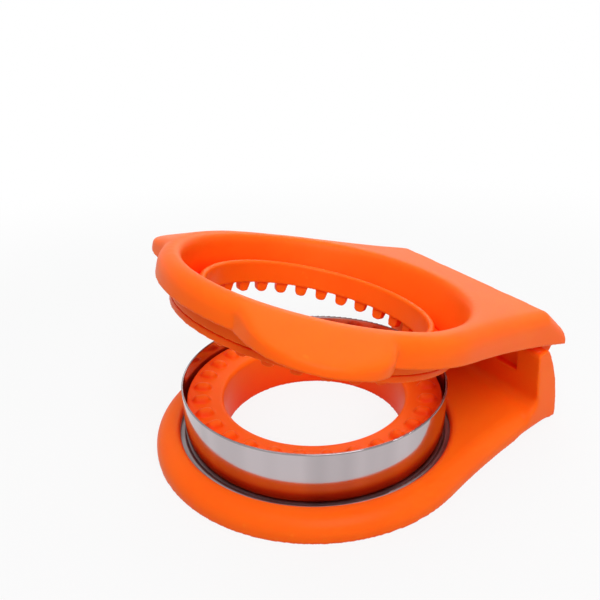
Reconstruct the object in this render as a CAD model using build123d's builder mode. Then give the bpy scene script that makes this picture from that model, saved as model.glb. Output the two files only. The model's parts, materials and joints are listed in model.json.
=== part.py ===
from build123d import *
from math import atan2, cos, degrees, hypot, radians, sin, tan
import os

os.makedirs("parts", exist_ok=True)

# Round sandwich cutter and sealer: a base with a steel cutting ring and a lower
# crimp ring, and a hinged lid with an upper crimp ring.  Millimetres and degrees.
# Origin: centre of the cutting ring, on the table.  -X is the front, +X the hinge.
# The lid is drawn closed and written out open, as it rests in use.

# Whole object
lid_opening = 15.5          # how far the lid stands open at rest
overrun = 5.0               # how far every cut runs past what it cuts
part_gap = 0.3              # between surfaces that pass or meet loosely
fit_gap = 0.1               # between pieces that are assembled into each other

# Cutting ring
cut_r = 45.0
cut_wall = 0.6
cut_top = 22.6
foot_depth = 3.6            # underside of the turned-out foot below the deck's top
foot_width = 4.4            # from the band out to the foot's edge
foot_bend = 1.4             # outer radius of the bend above the foot

# Base shell
groove_width = 1.9          # from the band to the edge of the deck
deck_width = 8.4            # from there to the outside of the base
base_top = 7.2
base_round = 5.6            # rounding of the outer top edge
skirt_wall = 2.4
lip_round = 1.9             # the deck rolls down into the groove
tail_leave = 18.8           # angle past the Y axis where the tail leaves the round
tail_end = 79.0             # rear face of the base
tail_half = 37.6            # half width at the rear face

# Rear wall of the base, its places counted forward from the rear face
wall_foot_in = 12.2         # front face where it meets the deck
wall_lip_in = 15.7          # front face at the top
wall_rear_in = 9.8          # rear edge of the top
wall_top = 30.1
wall_belly_in = 2.0         # a point on the curved back, and its height
wall_belly_z = 13.2
wall_front_round = 1.6
wall_rear_round = 2.6
wall_foot_round = 4.0
wall_foot_run_share = 1.25  # how far the wall's foot reaches forward, of that round
recess_height = 11.1        # of the recesses that clear the lid's knuckles
recess_depth = 3.0
pocket_top = 18.0           # moulding pockets, open downwards
pocket_skin = 2.6
pocket_width = 10.6
pocket_rib = 1.8            # between one pocket and the next
pocket_count = 5
pocket_draft = 3.0

# Hinge
hinge_in = 5.0              # pin forward of the rear face
hinge_rise = 3.1            # pin above the wall's top
pin_r = 1.3
pin_gap = 0.05              # running clearance in the base's lugs
pin_seat_gap = 0.02         # clearance in the lid's knuckles
pin_chamfer = 0.3
pin_blind = 1.0             # depth of the pin's blind seat on the near side
pin_inset = 1.2             # the driven end lies this far inside the far side
lug_r = 3.2
lug_width = 5.4
lug_side_in = 5.1           # middle of an outer lug inside the rear corner
lug_pitch = 16.0            # from an outer lug to the inner one on its side
lug_root_in = 8.8           # where a lug grows out of the wall's back
lug_root_drop = 3.6         # that place below the wall's top
slot_gap = 0.3              # each side of a lug in its slot
slot_front_in = 14.8

# Base plate
plate_low = 0.4             # the plate sits this far above the table
plate_wall = 2.0
plate_gap = 0.2             # around its edge, inside the skirt
hub_top = 11.3              # the crimp ring sits on the hub here
hub_wall = 2.4
bead_height = 0.6           # snap bead around the plate's front half
bead_gap = 0.1
bead_z = 1.3

# Screws
screw_r = 1.2
screw_length = 6.0
head_r = 2.3
head_height = 1.4
cross_width = 0.7
cross_depth = 0.8
pilot_gap = 0.05            # around a shank in the hole that it threads into
crimp_screws = 6
rear_screw_in = 6.2         # forward of the rear face
rear_screw_side_in = 4.2    # inside the rear corner

# Lower crimp ring
crimp_gap = 0.8             # inside the band
land_width = 12.3
sleeve_wall = 2.0           # the ring's sleeve lines the hole down to the table
land_fall = 1.0             # the land's inner edge below its outer edge
land_round = 1.4
bump_count = 30
bump_r = 2.2
bump_height = 1.6           # above the land's outer edge
bump_margin = 4.0           # from the land's outer edge to the outer rounded end's centre
bump_run = 1.6              # between the centres of a bump's two rounded ends
bite_gap = 0.35             # between teeth and bumps when shut

# Lid shell, its places at the rear counted forward from its own rear face
lid_gap = 0.35              # above the base's wall when shut
lid_inset = 0.7             # the lid's round is this much smaller than the base's
lid_round_x = 2.3           # centre of the lid's round
lid_overhang = 0.7          # past the base's rear face
lid_height = 8.6            # from the lower edge to the top around the opening
lid_ramp_x = 6.0            # where the top starts to rise to the crest
crest_in = 15.3
crest_height = 11.6
heel_in = 0.9
heel_height = 5.0
ramp_round = 60.0
crest_round = 6.0
heel_round = 8.0
lid_side_round = 4.5
lid_wall = 2.4
lid_roof = 3.2              # the cavity's ceiling lies this far under the top
knuckle_in = 9.5            # front of the solid bar behind the cavity
mouth_draft = 6.5           # the mouth widens upwards
mouth_lean = 6.2            # its middle leans to the rear, so that the front is upright
mouth_round = 2.5
tube_wall = 2.0             # around the opening, where it meets the crimp ring

# Grip ears at the lid's front corners
ear_reach = 4.4             # past the base's round, to each side
ear_front_angle = 37.0      # from the front to where an ear's front end crosses the round
ear_rear_angle = 81.6
ear_front_share = 0.62      # rounding of an ear's front corner, of the ear's length
ear_rear_share = 0.34
ear_fall = 20.5             # angle of the slope, which runs off the rim's soft edge
ear_lift = 0.15             # the slope starts this much outside that edge's tangent
ear_round = 2.0

# Upper crimp ring
edge_gap = 0.45             # between the steel edge and the trough's floor when shut
floor_wall = 2.2
trough_width = 6.1
lip_wall = 2.2
lip_height = 8.4
lip_round_share = 0.48      # of the lip's thickness
trough_round = 1.2
tooth_count = 30
tooth_height = 3.9
tooth_inset = 0.9           # from the lip's inner face
tooth_length = 3.0          # along the radius
tooth_root_width = 4.8
tooth_tip_width = 3.6
tooth_round_share = 0.44    # of the tip's width

# Radii that follow
foot_r = cut_r + foot_width
lip_r = cut_r + groove_width
rim_r = lip_r + deck_width
hub_r = cut_r - cut_wall - fit_gap
crimp_r = cut_r - cut_wall - crimp_gap
hole_r = crimp_r - land_width
sleeve_r = hole_r + sleeve_wall
screw_circle_r = (hub_r + hole_r) / 2
bump_out_r = crimp_r - bump_margin
bump_in_r = bump_out_r - bump_run
mouth_r = cut_r
tube_r = mouth_r + tube_wall
lip_out_r = mouth_r - trough_width
lip_in_r = lip_out_r - lip_wall
tooth_in_r = lip_in_r + tooth_inset
lid_round_r = rim_r - lid_inset
rim_flat_r = lid_round_r - lid_side_round
ear_slope_r = rim_flat_r + lid_side_round * tan(radians(ear_fall / 2)) + ear_lift
ear_front_x = lid_round_r * cos(radians(ear_front_angle))
ear_rear_x = lid_round_r * cos(radians(ear_rear_angle))

# Heights that follow
foot_z = base_top - foot_depth
foot_top = foot_z + cut_wall
plate_top = plate_low + plate_wall
recess_z = wall_top - recess_height
hinge_z = wall_top + hinge_rise
lid_bottom = wall_top + lid_gap
lid_ring_top = lid_bottom + lid_height
roof_z = lid_ring_top - lid_roof
crest_z = lid_bottom + crest_height
heel_z = lid_bottom + heel_height
floor_low = cut_top + edge_gap
floor_top = floor_low + floor_wall
lip_top = floor_low + lip_height
tooth_tip_z = floor_low - tooth_height
bump_top = tooth_tip_z - bite_gap
bump_z = bump_top - bump_r
land_outer_z = bump_top - bump_height
land_inner_z = land_outer_z - land_fall

# Places along X and Y that follow
wall_foot_x = tail_end - wall_foot_in
wall_foot_run = wall_foot_round * wall_foot_run_share
wall_lip_x = tail_end - wall_lip_in
wall_rear_x = tail_end - wall_rear_in
hinge_x = tail_end - hinge_in
hinge_line = Axis((hinge_x, 0, hinge_z), (0, 1, 0))
lug_outer = tail_half - lug_side_in
lug_inner = lug_outer - lug_pitch
slot_width = lug_width + 2 * slot_gap
slot_front_x = tail_end - slot_front_in
rear_screw_x = tail_end - rear_screw_in
rear_screw_y = tail_half - rear_screw_side_in
lid_rear = tail_end + lid_overhang
crest_x = lid_rear - crest_in
heel_x = lid_rear - heel_in
knuckle_x = lid_rear - knuckle_in


def tail_plan(centre_x, radius, rear_x):
    """Plan of base or lid: a round front that narrows into a square-ended tail."""
    leave_x = radius * sin(radians(tail_leave))
    leave_y = radius * cos(radians(tail_leave))
    with BuildSketch() as plan:
        with BuildLine():
            start = (centre_x + leave_x, leave_y)
            end = (centre_x + leave_x, -leave_y)
            ThreePointArc(end, (centre_x - radius, 0), start)
            TangentArc(start, (rear_x, tail_half), tangent=(leave_y, -leave_x))
            Line((rear_x, tail_half), (rear_x, -tail_half))
            TangentArc(end, (rear_x, -tail_half), tangent=(leave_y, leave_x))
        make_face()
    return plan.sketch


def both_sides(place):
    """A place beside the middle plane, and its mirror image."""
    return (-place, place)


def is_deck_edge(edge):
    """True for the circles where the deck ends around the cutting ring."""
    return abs(edge.radius - lip_r) < fit_gap


def mouth_circle(height, wall):
    """Centre and radius of the leaning mouth, with some wall, this far above the trough's floor."""
    return height * tan(radians(mouth_lean)), mouth_r + wall + height * tan(radians(mouth_draft))


def mouth_cone(top, wall):
    """Solid cone of the mouth, with some wall, from the trough's floor up."""
    with BuildPart() as cone:
        for height in (0, top - floor_top):
            centre_x, radius = mouth_circle(height, wall)
            with BuildSketch(Plane.XY.offset(floor_top + height)):
                with Locations((centre_x, 0)):
                    Circle(radius)
        loft()
    return cone.part


def is_mouth_edge(edge):
    """True for the edges of the lid's opening."""
    point = edge.start_point()
    centre_x, radius = mouth_circle(point.Z - floor_top, 0)
    return abs(hypot(point.X - centre_x, point.Y) - radius) < fit_gap


base_plan = tail_plan(0, rim_r, tail_end)
lid_plan = tail_plan(lid_round_x, lid_round_r, lid_rear)
lug_ys = both_sides(lug_inner) + both_sides(lug_outer)
mouth_cut = mouth_cone(crest_z + overrun, 0)
mouth_wall = mouth_cone(crest_z, tube_wall)
mouth_tube = mouth_cone(roof_z, tube_wall)

# Rear wall with its ends trimmed to the plan
with BuildPart() as wall_block:
    with BuildSketch(Plane.XZ) as wall_side:
        with BuildLine():
            Polyline(
                (tail_end, 0),
                (wall_foot_x - wall_foot_run, 0),
                (wall_foot_x - wall_foot_run, base_top),
                (wall_foot_x, base_top),
                (wall_lip_x, wall_top),
                (wall_rear_x, wall_top),
            )
            ThreePointArc(
                (wall_rear_x, wall_top), (tail_end - wall_belly_in, wall_belly_z), (tail_end, 0)
            )
        make_face()
        corners = wall_side.vertices()
        fillet(corners.sort_by_distance((wall_foot_x, base_top))[0], radius=wall_foot_round)
        corners = wall_side.vertices()
        fillet(corners.sort_by_distance((wall_lip_x, wall_top))[0], radius=wall_front_round)
        corners = wall_side.vertices()
        fillet(corners.sort_by_distance((wall_rear_x, wall_top))[0], radius=wall_rear_round)
    extrude(amount=rim_r, both=True)
    with BuildSketch():
        add(base_plan)
    extrude(amount=wall_top, mode=Mode.INTERSECT)

# One hinge lug, on the middle plane
lug_root = Vector(tail_end - lug_root_in, wall_top - lug_root_drop)
lug_run = Vector(hinge_x, hinge_z) - lug_root
with BuildPart() as lug_block:
    with BuildSketch(Plane.XZ):
        with Locations(lug_root + lug_run / 2):
            SlotCenterToCenter(lug_run.length, 2 * lug_r, rotation=degrees(atan2(lug_run.Y, lug_run.X)))
    extrude(amount=lug_width / 2, both=True)

# Recesses in the wall's front face, between the lugs, as (centre, width) along Y
recess_spans = [(0, 2 * lug_inner - lug_width)]
recess_spans += [(y, lug_pitch - lug_width) for y in both_sides((lug_inner + lug_outer) / 2)]
wall_lean = (wall_foot_x - wall_lip_x) / (wall_top - base_top)
recess_foot_x = wall_foot_x - wall_lean * (recess_z - base_top) + recess_depth
recess_top_x = wall_lip_x + recess_depth

# Base shell: the top moulding, with deck, skirt, rear wall and hinge lugs
with BuildPart() as base_shell:
    with BuildSketch():
        add(base_plan)
    extrude(amount=base_top)
    top_edges = base_shell.edges().group_by(Axis.Z)[-1].sort_by(Axis.X)[:-1]
    fillet(top_edges, radius=base_round)
    add(wall_block.part)
    # Hollow under the deck
    with BuildSketch():
        add(base_plan)
        offset(amount=-skirt_wall, kind=Kind.INTERSECTION, mode=Mode.REPLACE)
    extrude(amount=foot_top, mode=Mode.SUBTRACT)
    # Round opening, whose edge traps the cutting ring's foot from above
    with BuildSketch():
        Circle(lip_r)
    extrude(amount=base_top, mode=Mode.SUBTRACT)
    deck_edges = base_shell.edges().filter_by(GeomType.CIRCLE).filter_by(is_deck_edge)
    fillet(deck_edges.group_by(Axis.Z)[-1], radius=lip_round)
    # Groove for the plate's snap bead
    with BuildSketch(Plane.XZ):
        with Locations((-(rim_r - skirt_wall), bead_z + bead_height / 2)):
            Rectangle(2 * (bead_height - plate_gap + bead_gap), bead_height + 2 * bead_gap)
    revolve(axis=Axis.Z, revolution_arc=180, mode=Mode.SUBTRACT)
    # Bosses for the rear screws
    with BuildSketch(Plane.XY.offset(plate_top)):
        with Locations(*[(rear_screw_x, y) for y in both_sides(rear_screw_y)]):
            Circle(head_r + part_gap)
    extrude(amount=base_top - plate_top)
    # Hinge lugs
    with Locations(*[(0, y, 0) for y in lug_ys]):
        add(lug_block.part)
    # Recesses in front
    for centre, width in recess_spans:
        with BuildSketch(Plane.XZ.offset(-centre)):
            with BuildLine():
                Polyline(
                    (wall_lip_x - overrun, recess_z),
                    (recess_foot_x, recess_z),
                    (recess_top_x, wall_top),
                    (recess_top_x, wall_top + overrun),
                    (wall_lip_x - overrun, wall_top + overrun),
                    close=True,
                )
            make_face()
        extrude(amount=width / 2, both=True, mode=Mode.SUBTRACT)
    # Moulding pockets below
    pocket_in_x = wall_foot_x + pocket_skin
    pocket_out_x = tail_end - pocket_skin
    for step in range(pocket_count):
        centre = (step - (pocket_count - 1) / 2) * (pocket_width + pocket_rib)
        with BuildSketch(Plane.XZ.offset(-centre)):
            with BuildLine():
                Polyline(
                    (pocket_in_x, 0),
                    (pocket_out_x, 0),
                    (pocket_out_x - pocket_draft, pocket_top),
                    (recess_foot_x + pocket_skin / 2, pocket_top),
                    close=True,
                )
            make_face()
        extrude(amount=pocket_width / 2, both=True, mode=Mode.SUBTRACT)
    # Hinge bore, and pilot holes for the rear screws
    with BuildSketch(Plane.XZ):
        with Locations((hinge_x, hinge_z)):
            Circle(pin_r + pin_gap)
    extrude(amount=rim_r, both=True, mode=Mode.SUBTRACT)
    with BuildSketch(Plane.XY.offset(plate_top)):
        with Locations(*[(rear_screw_x, y) for y in both_sides(rear_screw_y)]):
            Circle(screw_r + pilot_gap)
    extrude(amount=screw_length, mode=Mode.SUBTRACT)
base_shell.part.label = "base_shell"
export_step(base_shell.part, "parts/base_shell.step")

# Base plate: a tray inside the skirt, whose hub stands inside the cutting ring
with BuildPart() as base_plate:
    with BuildSketch(Plane.XY.offset(plate_low)):
        add(base_plan)
        offset(amount=-(skirt_wall + plate_gap), kind=Kind.INTERSECTION, mode=Mode.REPLACE)
    extrude(amount=plate_wall)
    with BuildSketch():
        Circle(foot_r)
    extrude(amount=foot_z)
    with BuildSketch():
        Circle(hub_r)
    extrude(amount=hub_top)
    # Snap bead
    with BuildSketch(Plane.XZ):
        with Locations((-(rim_r - skirt_wall), bead_z + bead_height / 2)):
            Rectangle(2 * (bead_height - plate_gap), bead_height)
    revolve(axis=Axis.Z, revolution_arc=180)
    # Hole for the crimp ring's sleeve, and the hollow under the hub
    with BuildSketch():
        Circle(sleeve_r + fit_gap)
    extrude(amount=hub_top, mode=Mode.SUBTRACT)
    with BuildSketch():
        Circle(hub_r - hub_wall)
    extrude(amount=hub_top - hub_wall, mode=Mode.SUBTRACT)
    # Screw holes through the hub's roof
    with BuildSketch(Plane.XY.offset(hub_top)):
        with PolarLocations(screw_circle_r, crimp_screws):
            Circle(screw_r + fit_gap)
    extrude(amount=-(hub_wall + overrun), mode=Mode.SUBTRACT)
    # Screw holes at the rear, entered from below
    below = [Location((rear_screw_x, y, plate_low), (180, 0, 0)) for y in both_sides(rear_screw_y)]
    with Locations(*below):
        CounterBoreHole(screw_r + fit_gap, head_r + fit_gap, head_height)
base_plate.part.label = "base_plate"
export_step(base_plate.part, "parts/base_plate.step")

# One screw: a pan head with a cross recess below zero, its shank along +Z
with BuildPart() as screw:
    with BuildSketch():
        Circle(screw_r)
    extrude(amount=screw_length)
    chamfer(screw.edges().group_by(Axis.Z)[-1], length=screw_r / 2)
    with BuildSketch():
        Circle(head_r)
    extrude(amount=-head_height)
    fillet(screw.edges().group_by(Axis.Z)[0], radius=head_height / 2)
    with BuildSketch(Plane.XY.offset(-head_height)):
        Rectangle(2 * screw_r, cross_width)
        Rectangle(cross_width, 2 * screw_r)
    extrude(amount=cross_depth, mode=Mode.SUBTRACT)

# All screws: those of the crimp ring, then the two at the rear
with BuildPart() as base_screws:
    with PolarLocations(screw_circle_r, crimp_screws):
        with Locations((0, 0, hub_top - hub_wall)):
            add(screw.part)
    with Locations(*[(rear_screw_x, y, plate_low + head_height) for y in both_sides(rear_screw_y)]):
        add(screw.part)
base_screws.part.label = "base_screws"
export_step(base_screws.part, "parts/base_screws.step")

# One bump: a half-sunk pill that lies along X
with BuildPart() as bump:
    bump_mid_r = (bump_in_r + bump_out_r) / 2
    with BuildSketch(Plane.XZ):
        with Locations((bump_mid_r, bump_z)):
            SlotCenterToCenter(bump_run, 2 * bump_r)
        with Locations((bump_mid_r, bump_z - bump_r)):
            Rectangle(bump_run + 2 * bump_r, 2 * bump_r, mode=Mode.SUBTRACT)
    revolve(axis=Axis((0, 0, bump_z), (1, 0, 0)))

# Lower crimp ring: a sloping land with a circle of rounded bumps, and a sleeve inside
with BuildPart() as lower_crimp_ring:
    with BuildSketch(Plane.XZ) as land:
        with BuildLine():
            Polyline(
                (hole_r, 0),
                (sleeve_r, 0),
                (sleeve_r, hub_top),
                (crimp_r, hub_top),
                (crimp_r, land_outer_z),
                (hole_r, land_inner_z),
                close=True,
            )
        make_face()
        fillet(land.vertices().sort_by_distance((hole_r, land_inner_z))[0], radius=land_round)
    revolve(axis=Axis.Z)
    with PolarLocations(0, bump_count, start_angle=180 / bump_count):
        add(bump.part)
    with BuildSketch(Plane.XY.offset(hub_top)):
        with PolarLocations(screw_circle_r, crimp_screws):
            Circle(screw_r + pilot_gap)
    extrude(amount=screw_length - hub_wall + fit_gap, mode=Mode.SUBTRACT)
lower_crimp_ring.part.label = "lower_crimp_ring"
export_step(lower_crimp_ring.part, "parts/lower_crimp_ring.step")

# Cutting ring: a rolled steel band with a foot turned outwards
with BuildPart() as cutter_ring:
    with BuildSketch(Plane.XZ):
        with BuildLine():
            band_mid = cut_r - cut_wall / 2
            foot_mid = foot_z + cut_wall / 2
            FilletPolyline(
                (band_mid, cut_top),
                (band_mid, foot_mid),
                (foot_r - cut_wall / 2, foot_mid),
                radius=foot_bend - cut_wall / 2,
            )
            offset(amount=cut_wall / 2, kind=Kind.ARC, side=Side.BOTH, mode=Mode.REPLACE)
        make_face()
    revolve(axis=Axis.Z)
cutter_ring.part.label = "cutter_ring"
export_step(cutter_ring.part, "parts/cutter_ring.step")

# Lid's outer form, drawn closed: first the round and the tail with their soft edge
rear_lean = (crest_z - heel_z) / (heel_x - crest_x)
with BuildPart() as lid_form:
    with BuildSketch(Plane.XZ) as lid_side:
        with BuildLine():
            Polyline(
                (-rim_r, lid_bottom),
                (-rim_r, lid_ring_top),
                (lid_ramp_x, lid_ring_top),
                (crest_x, crest_z),
                (lid_rear, crest_z - rear_lean * crest_in),
                (lid_rear, lid_bottom),
                close=True,
            )
        make_face()
        fillet(lid_side.vertices().sort_by_distance((lid_ramp_x, lid_ring_top))[0], radius=ramp_round)
        fillet(lid_side.vertices().sort_by_distance((crest_x, crest_z))[0], radius=crest_round)
    extrude(amount=rim_r, both=True)
    with BuildSketch(Plane.XY.offset(lid_bottom)):
        add(lid_plan)
    extrude(amount=crest_height, mode=Mode.INTERSECT)
    rim_edges = lid_form.edges().filter_by(Axis.Y, reverse=True).filter_by(Axis.Z, reverse=True)
    rim_edges = rim_edges.filter_by_position(Axis.Z, lid_bottom + part_gap, crest_z)
    fillet(rim_edges, radius=lid_side_round)
    # The heel rounds the rear end off
    with BuildSketch(Plane.XZ) as heel_side:
        with BuildLine():
            Polyline(
                (-rim_r, lid_bottom),
                (-rim_r, crest_z + overrun),
                (crest_x - overrun / rear_lean, crest_z + overrun),
                (heel_x, heel_z),
                (lid_rear, lid_bottom),
                close=True,
            )
        make_face()
        fillet(heel_side.vertices().sort_by_distance((heel_x, heel_z))[0], radius=heel_round)
    extrude(amount=rim_r, both=True, mode=Mode.INTERSECT)

# Plan of the two grip ears
ear_length = ear_front_x - ear_rear_x
with BuildSketch() as ear_plan:
    with Locations((-(ear_front_x + ear_rear_x) / 2, 0)):
        Rectangle(ear_length, 2 * (rim_r + ear_reach))
    fillet(ear_plan.vertices().group_by(Axis.X)[-1], radius=ear_length * ear_rear_share)
    fillet(ear_plan.vertices().group_by(Axis.X)[0], radius=ear_length * ear_front_share)

# Ears: a slope that falls away from the rim, cut to the plan
lid_axis = Axis((lid_round_x, 0, 0), (0, 0, 1))
with BuildPart() as ear_form:
    with BuildSketch(Plane.XZ):
        with BuildLine():
            Polyline(
                (lid_round_x + rim_flat_r, lid_bottom),
                (lid_round_x + ear_slope_r + lid_height / tan(radians(ear_fall)), lid_bottom),
                (lid_round_x + ear_slope_r, lid_ring_top),
                (lid_round_x + rim_flat_r, lid_ring_top),
                close=True,
            )
        make_face()
    revolve(axis=lid_axis)
    with BuildSketch(Plane.XY.offset(lid_bottom)):
        add(ear_plan.sketch)
    extrude(amount=lid_height, mode=Mode.INTERSECT)

# Hollow under the round and the tail, which ends at the knuckle bar
bar_top = crest_z - rear_lean * (knuckle_x - crest_x)
with BuildPart() as lid_hollow:
    with BuildSketch(Plane.XZ):
        with BuildLine():
            Polyline(
                (-rim_r, lid_bottom),
                (-rim_r, roof_z),
                (lid_ramp_x, roof_z),
                (crest_x, crest_z - lid_roof),
                (knuckle_x, bar_top - lid_roof),
                (knuckle_x, lid_bottom),
                close=True,
            )
        make_face()
    extrude(amount=rim_r, both=True)
    with BuildSketch(Plane.XY.offset(lid_bottom)):
        add(lid_plan)
        offset(amount=-lid_wall, kind=Kind.INTERSECTION, mode=Mode.REPLACE)
    extrude(amount=crest_height, mode=Mode.INTERSECT)
    add(mouth_wall, mode=Mode.SUBTRACT)

# Hollow under the ears
with BuildPart() as ear_hollow:
    with BuildSketch(Plane.XZ):
        with BuildLine():
            Polyline(
                (lid_round_x + rim_flat_r, lid_bottom),
                (lid_round_x + ear_slope_r + (roof_z - lid_bottom) / tan(radians(ear_fall)), lid_bottom),
                (lid_round_x + ear_slope_r, roof_z),
                (lid_round_x + rim_flat_r, roof_z),
                close=True,
            )
        make_face()
    revolve(axis=lid_axis)
    with BuildSketch(Plane.XY.offset(lid_bottom)):
        add(ear_plan.sketch)
        offset(amount=-lid_wall, kind=Kind.INTERSECTION, mode=Mode.REPLACE)
    extrude(amount=lid_height, mode=Mode.INTERSECT)

# Lid shell, drawn closed
pin_near = lug_outer + slot_width / 2 + pin_blind
with BuildPart() as lid_closed:
    add(lid_form.part)
    add(ear_form.part)
    # The outermost edge of each ear in turn, with those that run on smoothly from it
    for outermost in (0, -1):
        slope_edges = lid_closed.edges().filter_by(Axis.Z, reverse=True)
        slope_edges = slope_edges.filter_by_position(Axis.Z, lid_bottom + part_gap, roof_z)
        fillet(slope_edges.sort_by(Axis.Y)[outermost], radius=ear_round)
    add(lid_hollow.part, mode=Mode.SUBTRACT)
    add(ear_hollow.part, mode=Mode.SUBTRACT)
    # Tube that carries the crimp ring, and the mouth through it
    add(mouth_tube)
    add(mouth_cut, mode=Mode.SUBTRACT)
    mouth_edges = lid_closed.edges().filter_by_position(Axis.Z, lid_ring_top - part_gap, crest_z)
    fillet(mouth_edges.filter_by(is_mouth_edge), radius=mouth_round)
    # Slots for the base's lugs
    slot_length = lid_rear + overrun - slot_front_x
    with BuildSketch(Plane.XY.offset(lid_bottom)):
        with Locations(*[(slot_front_x + slot_length / 2, y) for y in lug_ys]):
            Rectangle(slot_length, slot_width)
    extrude(amount=crest_height, mode=Mode.SUBTRACT)
    # Bore for the pin, blind on the near side
    with BuildSketch(Plane.XZ.offset(pin_near)):
        with Locations((hinge_x, hinge_z)):
            Circle(pin_r + pin_seat_gap)
    extrude(amount=-(2 * pin_near + overrun), mode=Mode.SUBTRACT)

# One tooth of the upper ring, pointing down, along X
with BuildPart() as tooth:
    with BuildSketch(Plane.YZ.offset(tooth_in_r)) as finger:
        with BuildLine():
            Polyline(
                (-tooth_root_width / 2, floor_low),
                (-tooth_root_width / 2, floor_low + floor_wall / 2),
                (tooth_root_width / 2, floor_low + floor_wall / 2),
                (tooth_root_width / 2, floor_low),
                (tooth_tip_width / 2, tooth_tip_z),
                (-tooth_tip_width / 2, tooth_tip_z),
                close=True,
            )
        make_face()
        fillet(finger.vertices().group_by(Axis.Y)[0], radius=tooth_tip_width * tooth_round_share)
    extrude(amount=tooth_length)

# Upper crimp ring, drawn closed: a trough floor, an inner lip and a circle of teeth
with BuildPart() as crimp_closed:
    with BuildSketch(Plane.XZ) as trough:
        with BuildLine():
            Polyline(
                (lip_in_r, floor_low),
                (tube_r, floor_low),
                (tube_r, floor_top),
                (lip_out_r, floor_top),
                (lip_out_r, lip_top),
                (lip_in_r, lip_top),
                close=True,
            )
        make_face()
        fillet(trough.vertices().group_by(Axis.Y)[-1], radius=lip_wall * lip_round_share)
        fillet(trough.vertices().sort_by_distance((lip_out_r, floor_top))[0], radius=trough_round)
    revolve(axis=Axis.Z)
    with PolarLocations(0, tooth_count, start_angle=180 / tooth_count):
        add(tooth.part)

# Lid pieces at rest, open by the lid's opening
with BuildPart() as lid_shell:
    add(lid_closed.part.rotate(hinge_line, lid_opening))
lid_shell.part.label = "lid_shell"
export_step(lid_shell.part, "parts/lid_shell.step")

with BuildPart() as upper_crimp_ring:
    add(crimp_closed.part.rotate(hinge_line, lid_opening))
upper_crimp_ring.part.label = "upper_crimp_ring"
export_step(upper_crimp_ring.part, "parts/upper_crimp_ring.step")

# Hinge pin, driven in from the far side
with BuildPart() as hinge_pin:
    with BuildSketch(Plane.XZ.offset(pin_near - pin_seat_gap)):
        with Locations((hinge_x, hinge_z)):
            Circle(pin_r)
    extrude(amount=-(pin_near - pin_seat_gap + tail_half - pin_inset))
    chamfer(hinge_pin.edges(), length=pin_chamfer)
hinge_pin.part.label = "hinge_pin"
export_step(hinge_pin.part, "parts/hinge_pin.step")
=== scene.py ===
import bpy
import json
import math
from mathutils import Matrix, Vector


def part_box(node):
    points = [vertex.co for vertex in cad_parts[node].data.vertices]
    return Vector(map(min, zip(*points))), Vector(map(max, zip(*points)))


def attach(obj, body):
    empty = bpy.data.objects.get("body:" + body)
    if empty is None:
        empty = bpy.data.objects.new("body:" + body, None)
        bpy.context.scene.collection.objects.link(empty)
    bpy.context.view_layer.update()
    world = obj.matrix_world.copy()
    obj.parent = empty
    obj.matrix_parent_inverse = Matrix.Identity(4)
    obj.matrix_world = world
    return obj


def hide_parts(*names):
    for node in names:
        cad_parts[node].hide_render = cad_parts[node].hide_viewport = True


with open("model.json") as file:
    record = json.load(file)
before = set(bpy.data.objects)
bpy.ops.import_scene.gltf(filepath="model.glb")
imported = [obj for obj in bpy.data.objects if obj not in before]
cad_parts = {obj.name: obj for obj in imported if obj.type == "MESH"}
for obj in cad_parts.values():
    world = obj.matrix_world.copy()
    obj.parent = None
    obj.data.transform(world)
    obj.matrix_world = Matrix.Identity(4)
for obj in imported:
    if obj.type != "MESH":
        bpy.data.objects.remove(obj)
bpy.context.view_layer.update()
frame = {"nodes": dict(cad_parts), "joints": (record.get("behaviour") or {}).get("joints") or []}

# Sizes in metres
mm = 0.001

# Camera, at the place from which the reference photograph was taken
camera_place = Vector((-91.14, -162.82, 133.62)) * mm
camera_heading = math.radians(62.0)
camera_pitch = math.radians(-24.12)
camera_roll = math.radians(-1.52)
image_width_px = 600
focal_px = 627
clip_near = 10 * mm
clip_far = 20
sensor_width = 36           # in millimetres, as Blender gives it

# Softening of the moulded pieces: grid of the remesh and smoothing passes, how much of the way
# to its neighbours a pass moves a point, and most triangles
shell_grid = 0.4 * mm
shell_passes = 9
crimp_grid = 0.35 * mm
crimp_passes = 3
pass_share = 0.5
weld_gap = 0.001 * mm
most_triangles = 190000

# More softening where the real mouldings roll over. Each pair of places below is where it does
# nothing and where it acts in full, and it rises from one to the other in steps
weight_steps = 12

# The lid's upper edges, by height in the closed lid and by distance to the rear. The joint's
# lower limit is the closed lid
lid_hinge = frame["joints"][0]
hinge_x, _, hinge_z = lid_hinge["pos_m"]
lid_opening = -math.radians(lid_hinge["range_deg"][0])
roll_heights = (33.5 * mm, 36.5 * mm)
roll_rear = (64.0 * mm, 50.0 * mm)
roll_passes = 130

# The notch at the foot of the base's rear wall
notch_front = (54.0 * mm, 60.0 * mm)
notch_rear = (77.0 * mm, 72.0 * mm)
notch_sides = (28.0 * mm, 33.0 * mm)
notch_top = (14.0 * mm, 9.0 * mm)
notch_passes = 90

# Colours, as linear red, green and blue
white = (1.0, 1.0, 1.0)
orange = (1.0, 0.138, 0.006)
orange_deep = (0.98, 0.118, 0.004)
# Paler orange of the painted highlight on edges
orange_edge_highlight = (1.0, 0.18, 0.012)
# Redder orange of the painted shade in inner corners
orange_painted_shade = (1.0, 0.050, 0.002)
steel_grey = (0.53, 0.475, 0.490)
plated_grey = (0.60, 0.60, 0.61)
floor_white = (0.60, 0.60, 0.60)

# The main colour of a moulding, what it drifts to, and the paler colour of the painted highlight on its
# edges
shell_colours = (orange, orange_deep, orange_edge_highlight)
plate_colours = (orange_deep, orange_deep, orange)

# Noise in the materials: cells per metre, and detail. A range holds the values that stand for
# none and full
flow_noise = (28.0, 3.0)
grain_noise = (5200.0, 2.0)
swell_noise = (160.0, 2.0)
band_noise = (90.0, 1.0)
noise_range = (0.3, 0.7)
band_range = (0.35, 0.65)

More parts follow.
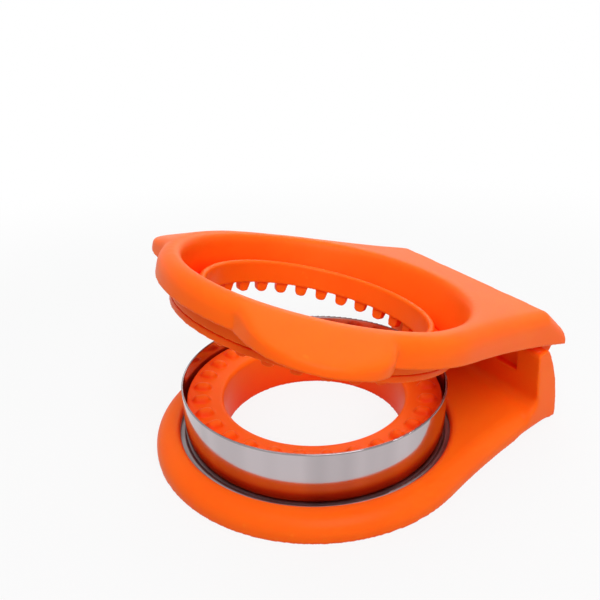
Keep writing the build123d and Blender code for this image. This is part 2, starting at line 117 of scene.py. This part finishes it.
# Streaks of rolled steel are read from a stretched place: cells per radian around the ring, and
# then the scale and detail of the noise in that place
streak_turn_scale = 3.0
streak_noise = (1.0, 3.0)

# Bumps: strength and depth
grain_bump = (0.10, 0.02 * mm)
swell_bump = (0.05, 0.15 * mm)
streak_bump = (0.04, 0.01 * mm)

# Roughness, and how far noise takes it below and above that. For steel also the streaks per
# metre across the rolling direction
shell_roughness = 0.40
plate_roughness = 0.46
crimp_roughness = 0.36
plastic_spread = (-0.04, 0.05)
cutter_finish = (0.09, 2600.0)
screw_finish = (0.28, 900.0)
pin_finish = (0.24, 900.0)
steel_spread = (-0.03, 0.05)

# Plastic: its gloss, and the light that spreads below its surface, less deep in green and blue
plastic_ior = 1.50
plastic_specular = 0.08
scatter_share = 0.35
scatter_depth = 3.0 * mm
scatter_depth_shares = (1.0, 0.12, 0.02)

# Painted highlight on convex edges: the pointiness where it begins and is full, and how pale it gets
edge_highlight_range = (0.52, 0.60)
edge_highlight_share = 0.35

# Painted shade: inner corners of the plastic, where the light has bounced from orange to orange, are
# painted redder: how far a corner is felt, and how open it is where the colour is fully red and not red
# at all
shell_reach = 34.0 * mm
shell_corner = (0.18, 0.52)
crimp_reach = 22.0 * mm
crimp_corner = (0.38, 0.92)
corner_samples = 8

# The cutting ring is rougher at its bend in the groove, and both there and on its raw top edge its colour
# is darker as painted shade. The bend fades out between two heights above the foot, and the edge sets in
# between two depths below the top
bend_rise = (1.0 * mm, 2.2 * mm)
edge_drop = (0.6 * mm, 0.35 * mm)
ring_low, ring_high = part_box("cutter_ring")
bend_heights = [ring_low.z + rise for rise in bend_rise]
edge_heights = [ring_high.z - drop for drop in edge_drop]
# How dark the painted shade makes the steel, as a share of its colour
painted_shade_share = 0.60
bend_roughness = 0.38

# How dark the painted reflection bands, soft and upright, get on steel, as a share of its colour
reflection_band_share = 0.82

# Lamps: place, what they aim at, width and height, all in metres, and power in watts
lamps = {
    "key": ((-0.10, -0.52, 0.66), (0, 0, 0.02), (0.5, 0.5), 4.1),
    "top": ((0.02, 0.02, 0.78), (0, 0, 0.02), (0.7, 0.7), 2.4),
    "back": ((0.45, 0.45, 0.35), (0, 0, 0.03), (0.4, 0.3), 0.8),
}

# The surround's light on the object, as a share of plain white
surround_share = 0.46
surround_tint = (0.98, 0.99, 1.0)

# Floor: it takes a shadow near the object and fades to plain white further out. The share is
# how much plain white the camera sees on it near the object
floor_half = 3.0
floor_corner_shares = ((-1, -1), (1, -1), (1, 1), (-1, 1))
fade_radii = (0.16, 0.42)
near_white_share = 0.86

# Spacing of the nodes in a material's graph
column_step = 220
row_step = 260


def node(tree, kind, **settings):
    """A shader node with its settings."""
    made = tree.nodes.new(kind)
    for name, value in settings.items():
        setattr(made, name, value)
    return made


def noise(tree, place, scale, detail):
    """A noise texture read at the given place."""
    made = node(tree, "ShaderNodeTexNoise")
    made.inputs["Scale"].default_value = scale
    made.inputs["Detail"].default_value = detail
    tree.links.new(place, made.inputs["Vector"])
    return made.outputs["Fac"]


def remap(tree, value, old, new, **settings):
    """A value taken from one range to another."""
    made = node(tree, "ShaderNodeMapRange", **settings)
    for socket, bound in zip(("From Min", "From Max", "To Min", "To Max"), (*old, *new)):
        made.inputs[socket].default_value = bound
    tree.links.new(value, made.inputs["Value"])
    return made.outputs["Result"]


def maths(tree, operation, first, second):
    """What a sum makes of two values."""
    made = node(tree, "ShaderNodeMath", operation=operation)
    tree.links.new(first, made.inputs[0])
    tree.links.new(second, made.inputs[1])
    return made.outputs["Value"]


def scaled(tree, place, scale):
    """A place with each of its three parts scaled."""
    made = node(tree, "ShaderNodeMapping")
    made.inputs["Scale"].default_value = scale
    tree.links.new(place, made.inputs["Vector"])
    return made.outputs["Vector"]


def blend(tree, share, under, over):
    """A colour, or an earlier blend, that gives way to another colour by a share."""
    made = node(tree, "ShaderNodeMix", data_type="RGBA")
    if isinstance(under, bpy.types.NodeSocket):
        tree.links.new(under, made.inputs["A"])
    else:
        made.inputs["A"].default_value = (*under, 1)
    made.inputs["B"].default_value = (*over, 1)
    tree.links.new(share, made.inputs["Factor"])
    return made.outputs["Result"]


def bump(tree, height, strength, depth, under=None):
    """A bump that follows a height, added to another bump where one is given."""
    made = node(tree, "ShaderNodeBump")
    made.inputs["Strength"].default_value = strength
    made.inputs["Distance"].default_value = depth
    tree.links.new(height, made.inputs["Height"])
    if under is not None:
        tree.links.new(under, made.inputs["Normal"])
    return made.outputs["Normal"]


def empty_tree(owner, output_kind):
    """The node tree of a material or world, with nothing in it but its output."""
    owner.use_nodes = True
    tree = owner.node_tree
    tree.nodes.clear()
    return tree, node(tree, output_kind)


def lay_out(tree):
    """Put the nodes in columns, each to the left of all that it feeds."""
    column = {made.name: 0 for made in tree.nodes}
    # As many rounds as there are nodes settle the longest chain
    for _ in tree.nodes:
        for wire in tree.links:
            behind = column[wire.to_node.name] + 1
            column[wire.from_node.name] = max(column[wire.from_node.name], behind)
    filled = {}
    for made in tree.nodes:
        place = column[made.name]
        row = filled.get(place, 0)
        made.location = (-place * column_step, -row * row_step)
        filled[place] = row + 1


def new_material(name):
    """An empty material with its Principled shader already joined to the output."""
    material = bpy.data.materials.new(name)
    tree, output = empty_tree(material, "ShaderNodeOutputMaterial")
    shader = node(tree, "ShaderNodeBsdfPrincipled")
    tree.links.new(shader.outputs["BSDF"], output.inputs["Surface"])
    return material, tree, shader


def plastic_colour(tree, flow, colours, reach, corner):
    """Orange that drifts along the melt's flow, with edges paler by a painted highlight and inner corners
    redder by painted shade.
    """
    colour, deep, pale = colours
    drift = blend(tree, remap(tree, flow, noise_range, (0.0, 1.0)), deep, colour)
    # Painted highlight: convex edges are a little paler
    pointiness = node(tree, "ShaderNodeNewGeometry").outputs["Pointiness"]
    edge_highlighted = blend(tree, remap(tree, pointiness, edge_highlight_range, (0.0, edge_highlight_share)), drift, pale)
    # Painted shade: inner corners are redder
    inside = node(tree, "ShaderNodeAmbientOcclusion", samples=corner_samples)
    inside.inputs["Distance"].default_value = reach
    return blend(tree, remap(tree, inside.outputs["AO"], corner, (1.0, 0.0)), edge_highlighted, orange_painted_shade)


def moulded_plastic(name, colours, roughness, reach, corner):
    """Satin injection-moulded plastic: fine spark-eroded grain, slow flow marks, edges paler by a painted
    highlight, inner corners redder by painted shade.
    """
    material, tree, shader = new_material(name)
    place = node(tree, "ShaderNodeTexCoord").outputs["Object"]
    flow = noise(tree, place, *flow_noise)
    grain = noise(tree, place, *grain_noise)
    swell = noise(tree, place, *swell_noise)
    colour = plastic_colour(tree, flow, colours, reach, corner)
    tree.links.new(colour, shader.inputs["Base Color"])
    # Roughness follows the grain
    rough = remap(tree, grain, noise_range, [roughness + step for step in plastic_spread])
    tree.links.new(rough, shader.inputs["Roughness"])
    # Grain, and the slight sink of a moulded wall
    fine = bump(tree, grain, *grain_bump)
    tree.links.new(bump(tree, swell, *swell_bump, under=fine), shader.inputs["Normal"])
    shader.inputs["IOR"].default_value = plastic_ior
    shader.inputs["Specular IOR Level"].default_value = plastic_specular
    shader.inputs["Subsurface Weight"].default_value = scatter_share
    shader.inputs["Subsurface Radius"].default_value = scatter_depth_shares
    shader.inputs["Subsurface Scale"].default_value = scatter_depth
    lay_out(tree)
    return material


def rougher_and_painted_shade(tree, height, rough, colour):
    """Roughness and colour of steel: rougher where its foot turns out, and darker there and on its raw
    top edge as painted shade.
    """
    bent = remap(tree, height, bend_heights, (bend_roughness, 0.0))
    # Painted shade: darker at the bend in the groove and at the top edge
    low = remap(tree, height, bend_heights, (painted_shade_share, 1.0))
    high = remap(tree, height, edge_heights, (1.0, painted_shade_share))
    shade = node(tree, "ShaderNodeVectorMath", operation="SCALE")
    tree.links.new(colour, shade.inputs[0])
    tree.links.new(maths(tree, "MULTIPLY", low, high), shade.inputs["Scale"])
    return maths(tree, "MAXIMUM", rough, bent), shade.outputs["Vector"]


def rolled_steel(name, colour, roughness, streak_scale, painted_shade_ends=False):
    """Polished strip steel: hair-fine streaks along the rolling direction, soft upright bands of painted
    reflection.
    """
    material, tree, shader = new_material(name)
    place = node(tree, "ShaderNodeTexCoord").outputs["Object"]
    parts = node(tree, "ShaderNodeSeparateXYZ")
    tree.links.new(place, parts.inputs["Vector"])
    # Around the ring the streaks are long, up the band they are fine
    unrolled = node(tree, "ShaderNodeCombineXYZ")
    angle = maths(tree, "ARCTAN2", parts.outputs["Y"], parts.outputs["X"])
    tree.links.new(angle, unrolled.inputs["X"])
    tree.links.new(parts.outputs["Z"], unrolled.inputs["Z"])
    stretched = scaled(tree, unrolled.outputs["Vector"], (streak_turn_scale, 0, streak_scale))
    streaks = noise(tree, stretched, *streak_noise)
    # The painted reflection bands are the same at every height, and have no seam where the angle jumps
    reflection_bands = noise(tree, scaled(tree, place, (1, 1, 0)), *band_noise)
    darker = [reflection_band_share * level for level in colour]
    colour_with_painted_light = blend(tree, remap(tree, reflection_bands, band_range, (0.0, 1.0)), darker, colour)
    rough = remap(tree, streaks, noise_range, [roughness + step for step in steel_spread])
    if painted_shade_ends:
        rough, colour_with_painted_light = rougher_and_painted_shade(tree, parts.outputs["Z"], rough, colour_with_painted_light)
    tree.links.new(rough, shader.inputs["Roughness"])
    tree.links.new(colour_with_painted_light, shader.inputs["Base Color"])
    tree.links.new(bump(tree, streaks, *streak_bump), shader.inputs["Normal"])
    shader.inputs["Metallic"].default_value = 1.0
    lay_out(tree)
    return material


def set_material(piece, material):
    piece.data.materials.clear()
    piece.data.materials.append(material)


def add_object(name, data):
    """A new object in the scene."""
    made = bpy.data.objects.new(name, data)
    bpy.context.scene.collection.objects.link(made)
    return made


def ramp(value, none, full):
    """0 at one value, 1 at the other, soft at both ends."""
    share = min(max((value - none) / (full - none), 0), 1)
    return share * share * (3 - 2 * share)


def lid_roll(place):
    """How much a place on the lid takes part in the softening of the upper edges."""
    ahead = place.x - hinge_x
    above = place.z - hinge_z
    height = hinge_z + ahead * math.sin(lid_opening) + above * math.cos(lid_opening)
    return ramp(height, *roll_heights) * ramp(place.x, *roll_rear)


def base_notch(place):
    """How much a place on the base takes part in the softening at the foot of the rear wall."""
    along = ramp(place.x, *notch_front) * ramp(place.x, *notch_rear)
    return along * ramp(abs(place.y), *notch_sides) * ramp(place.z, *notch_top)


def bake(piece):
    """Make a piece's modifiers part of its mesh."""
    piece.data = bpy.data.meshes.new_from_object(
        piece.evaluated_get(bpy.context.evaluated_depsgraph_get())
    )
    piece.modifiers.clear()


def smooth(piece, passes, group_name=""):
    """Draw each point towards its neighbours, by its share where a group gives one."""
    made = piece.modifiers.new("soften", "SMOOTH")
    made.factor = pass_share
    made.iterations = passes
    made.vertex_group = group_name
    bake(piece)


def soften_more(piece, share_at, passes):
    """Smooth a piece again, each place by its own share."""
    group = piece.vertex_groups.new(name="share")
    steps = [[] for _ in range(weight_steps + 1)]
    for vertex in piece.data.vertices:
        steps[round(share_at(vertex.co) * weight_steps)].append(vertex.index)
    for step, found in enumerate(steps):
        group.add(found, step / weight_steps, "REPLACE")
    smooth(piece, passes, group.name)
    piece.vertex_groups.clear()


def thin_out(piece):
    """Bring a piece of quads down to the most triangles that it may have."""
    triangles = 2 * len(piece.data.polygons)
    if triangles > most_triangles:
        thin = piece.modifiers.new("thin", "DECIMATE")
        thin.ratio = most_triangles / triangles
        bake(piece)


def softened(name, cad_name, grid, passes, share_at, more_passes):
    """A moulded piece: the CAD node's form with every edge softened as a mould leaves it."""
    piece = add_object(name, frame["nodes"][cad_name].data.copy())
    weld = piece.modifiers.new("weld", "WELD")
    weld.merge_threshold = weld_gap
    remesh = piece.modifiers.new("grid", "REMESH")
    remesh.mode = "VOXEL"
    remesh.voxel_size = grid
    smooth(piece, passes)
    if more_passes:
        soften_more(piece, share_at, more_passes)
    thin_out(piece)
    piece.data.shade_smooth()
    return piece


def camera():
    """The camera, at the photograph's place and angle."""
    data = bpy.data.cameras.new("camera")
    data.sensor_width = sensor_width
    data.lens = focal_px / image_width_px * sensor_width
    data.clip_start = clip_near
    data.clip_end = clip_far
    made = add_object("camera", data)
    level = math.cos(camera_pitch)
    ahead = Vector((
        math.cos(camera_heading) * level,
        math.sin(camera_heading) * level,
        math.sin(camera_pitch),
    ))
    right = ahead.cross(Vector((0, 0, 1))).normalized()
    up = right.cross(ahead)
    turn = Matrix((right, up, -ahead)).transposed()
    turn = turn @ Matrix.Rotation(camera_roll, 3, "Z")
    made.matrix_world = Matrix.Translation(camera_place) @ turn.to_4x4()
    bpy.context.scene.camera = made


def softbox(name, place, aim, size, power):
    """A large soft lamp."""
    data = bpy.data.lights.new(name, "AREA")
    data.shape = "RECTANGLE"
    data.size, data.size_y = size
    data.energy = power
    made = add_object(name, data)
    made.location = place
    made.rotation_euler = (Vector(aim) - Vector(place)).to_track_quat("-Z", "Y").to_euler()


def seen_rays(tree):
    """1 for the camera's rays, also by way of metal and glass, and 0 for all others."""
    path = node(tree, "ShaderNodeLightPath").outputs
    either = maths(tree, "MAXIMUM", path["Is Camera Ray"], path["Is Glossy Ray"])
    return maths(tree, "MAXIMUM", either, path["Is Transmission Ray"])


def glowing(tree, kind, colour, strength):
    """A surround or surface that gives light of one colour and strength."""
    made = node(tree, kind)
    made.inputs["Color"].default_value = (*colour, 1)
    made.inputs["Strength"].default_value = strength
    return made.outputs[0]


def join_shaders(tree, output, share, under, over):
    """Give the output two shaders, the second by a share, and lay out the graph."""
    made = node(tree, "ShaderNodeMixShader")
    for place, source in enumerate((share, under, over)):
        tree.links.new(source, made.inputs[place])
    tree.links.new(made.outputs["Shader"], output.inputs["Surface"])
    lay_out(tree)


def studio():
    """A dim surround that the camera sees white, and soft lamps in front, above and behind."""
    world = bpy.data.worlds.new("studio")
    bpy.context.scene.world = world
    tree, output = empty_tree(world, "ShaderNodeOutputWorld")
    seen = glowing(tree, "ShaderNodeBackground", white, 1.0)
    lit = glowing(tree, "ShaderNodeBackground", surround_tint, surround_share)
    join_shaders(tree, output, seen_rays(tree), lit, seen)
    for name, lamp in lamps.items():
        softbox(name, *lamp)


def floor():
    """A pale floor that the camera sees nearly white, with the object's shadow on it."""
    mesh = bpy.data.meshes.new("floor")
    corners = [(x * floor_half, y * floor_half, 0) for x, y in floor_corner_shares]
    mesh.from_pydata(corners, [], [range(len(corners))])
    made = add_object("floor", mesh)
    material = bpy.data.materials.new("floor_white")
    tree, output = empty_tree(material, "ShaderNodeOutputMaterial")
    diffuse = node(tree, "ShaderNodeBsdfDiffuse")
    diffuse.inputs["Color"].default_value = (*floor_white, 1)
    glow = glowing(tree, "ShaderNodeEmission", white, 1.0)
    # Further out the camera sees more of the plain white
    distance = node(tree, "ShaderNodeVectorMath", operation="LENGTH")
    tree.links.new(node(tree, "ShaderNodeTexCoord").outputs["Object"], distance.inputs[0])
    fade = remap(
        tree, distance.outputs["Value"], fade_radii, (near_white_share, 1.0),
        interpolation_type="SMOOTHSTEP",
    )
    share = maths(tree, "MULTIPLY", seen_rays(tree), fade)
    join_shaders(tree, output, share, diffuse.outputs["BSDF"], glow)
    set_material(made, material)


camera()
studio()
floor()
bpy.context.scene.view_settings.view_transform = "Standard"

shell_plastic = moulded_plastic("orange_shell", shell_colours, shell_roughness, shell_reach, shell_corner)
plate_plastic = moulded_plastic("orange_plate", plate_colours, plate_roughness, shell_reach, shell_corner)
crimp_plastic = moulded_plastic("orange_crimp", shell_colours, crimp_roughness, crimp_reach, crimp_corner)
cutter_steel = rolled_steel("cutter_steel", steel_grey, *cutter_finish, painted_shade_ends=True)
screw_steel = rolled_steel("screw_steel", plated_grey, *screw_finish)
pin_steel = rolled_steel("pin_steel", plated_grey, *pin_finish)

# Moulded pieces, softened
moulded = (
    ("base_moulding", "base_shell", "base", "orange_shell", shell_plastic),
    ("crimp_land", "lower_crimp_ring", "base", "orange_crimp", crimp_plastic),
    ("lid_moulding", "lid_shell", "lid", "orange_shell", shell_plastic),
    ("crimp_teeth", "upper_crimp_ring", "lid", "orange_crimp", crimp_plastic),
)
softening = {
    "base_moulding": (shell_grid, shell_passes, base_notch, notch_passes),
    "crimp_land": (crimp_grid, crimp_passes, None, 0),
    "lid_moulding": (shell_grid, shell_passes, lid_roll, roll_passes),
    "crimp_teeth": (crimp_grid, crimp_passes, None, 0),
}
for name, cad_name, body, slot, material in moulded:
    piece = softened(name, cad_name, *softening[name])
    set_material(piece, material)
    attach(piece, body)
    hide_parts(cad_name)

# CAD pieces that keep their form
for cad_name, material in (
    ("base_plate", plate_plastic),
    ("cutter_ring", cutter_steel),
    ("base_screws", screw_steel),
    ("hinge_pin", pin_steel),
):
    set_material(frame["nodes"][cad_name], material)
